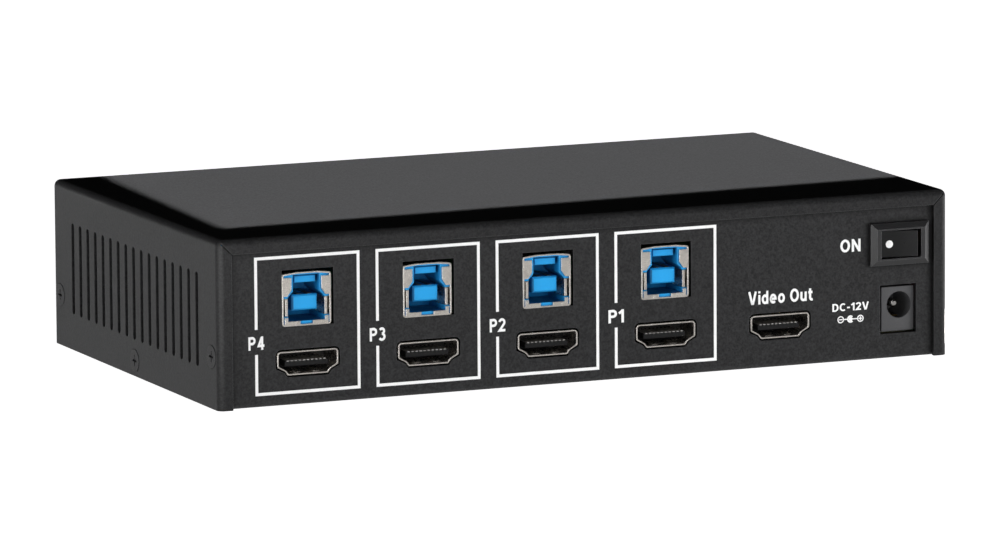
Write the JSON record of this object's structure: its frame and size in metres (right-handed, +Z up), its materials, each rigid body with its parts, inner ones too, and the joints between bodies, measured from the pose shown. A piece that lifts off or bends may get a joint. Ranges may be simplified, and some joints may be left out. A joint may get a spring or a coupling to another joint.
{
  "type": "kvm switch",
  "caption": "Flat black steel desktop switch box: framed pairs of video and USB sockets, a video output, a rocker switch and a power inlet at the back, selector buttons at the front.",
  "frame": {"origin": "on the surface it stands on, under the middle of the case", "axes": "+Z up, +Y out of the rear panel with the sockets, -Y out of the front panel with the buttons, +X towards port 4"},
  "size_m": [0.1842, 0.11, 0.0409],
  "materials": {
    "case_paint": "fine-textured satin black powder coat",
    "black_screw": "blackened steel",
    "rubber": "matt",
    "board": "green solder mask",
    "brass": "nickel-free brass",
    "zinc_steel": "zinc plated",
    "contact_metal": "gold flashed",
    "socket_shell": "nickel plated",
    "black_plastic": "moulded, fine matt",
    "blue_plastic": "moulded satin blue",
    "jack_pin": "nickel plated, bright",
    "rocker_plastic": "satin black",
    "button_plastic": "satin black",
    "plunger_plastic": "moulded",
    "light_guide": "clear moulded",
    "lead_insulation": "smooth insulation",
    "chip_resin": "moulded epoxy",
    "aluminium": "bead blasted"
  },
  "bodies": {
    "case": {"top_cover": "case_paint", "chassis": "case_paint", "cover_screws": "black_screw", "rubber_feet": "rubber", "main_board": "board", "usb_board": "board", "button_board": "board", "standoffs": "brass", "board_spacers": "brass", "panel_standoffs": "brass", "board_screws": "zinc_steel", "video_contacts": "contact_metal", "uplink_contacts": "contact_metal", "usb_contacts": "contact_metal", "dc_jack_spring": "contact_metal", "rocker_terminals": "contact_metal", "video_shell_p1": "socket_shell", "video_shell_p2": "socket_shell", "video_shell_p3": "socket_shell", "video_shell_p4": "socket_shell", "video_shell_out": "socket_shell", "uplink_shell_p1": "socket_shell", "uplink_shell_p2": "socket_shell", "uplink_shell_p3": "socket_shell", "uplink_shell_p4": "socket_shell", "usb_shell_left": "socket_shell", "usb_shell_right": "socket_shell", "video_core_p1": "black_plastic", "video_core_p2": "black_plastic", "video_core_p3": "black_plastic", "video_core_p4": "black_plastic", "video_core_out": "black_plastic", "dc_jack_body": "black_plastic", "rocker_frame": "black_plastic", "board_connectors": "black_plastic", "switch_bodies": "black_plastic", "uplink_core_p1": "blue_plastic", "uplink_core_p2": "blue_plastic", "uplink_core_p3": "blue_plastic", "uplink_core_p4": "blue_plastic", "usb_core_left": "blue_plastic", "usb_core_right": "blue_plastic", "dc_jack_pin": "jack_pin", "status_lights": "light_guide", "power_leads": "lead_insulation", "video_chip": "chip_resin", "usb_chips": "chip_resin", "heat_sink": "aluminium", "capacitors": "aluminium"},
    "rocker": {"rocker_paddle": "rocker_plastic", "rocker_plunger": "contact_metal"},
    "contact_lever": {"rocker_lever": "contact_metal"},
    "button_1": {"select_button_1": "button_plastic", "switch_plunger_1": "plunger_plastic"},
    "button_2": {"select_button_2": "button_plastic", "switch_plunger_2": "plunger_plastic"},
    "button_3": {"select_button_3": "button_plastic", "switch_plunger_3": "plunger_plastic"},
    "button_4": {"select_button_4": "button_plastic", "switch_plunger_4": "plunger_plastic"}
  },
  "joints": [
    {"name": "rocker_tilt", "type": "hinge", "parent": "case", "child": "rocker", "pos_m": [-0.07965, 0.05195, 0.0288], "axis": [0, 0, 1], "range_deg": [0, 20]},
    {"name": "lever_tilt", "type": "hinge", "parent": "case", "child": "contact_lever", "pos_m": [-0.07965, 0.04705, 0.0288], "axis": [0, 0, 1], "range_deg": [-12, 0]},
    {"name": "button_1_press", "type": "slide", "parent": "case", "child": "button_1", "axis": [0, 1, 0], "range_m": [0, 0.0006], "stiffness_N_per_m": 1500},
    {"name": "button_2_press", "type": "slide", "parent": "case", "child": "button_2", "axis": [0, 1, 0], "range_m": [0, 0.0006], "stiffness_N_per_m": 1500},
    {"name": "button_3_press", "type": "slide", "parent": "case", "child": "button_3", "axis": [0, 1, 0], "range_m": [0, 0.0006], "stiffness_N_per_m": 1500},
    {"name": "button_4_press", "type": "slide", "parent": "case", "child": "button_4", "axis": [0, 1, 0], "range_m": [0, 0.0006], "stiffness_N_per_m": 1500}
  ],
  "couplings": [
    {"joint": "lever_tilt", "follows": "rocker_tilt", "ratio": -0.6}
  ]
}
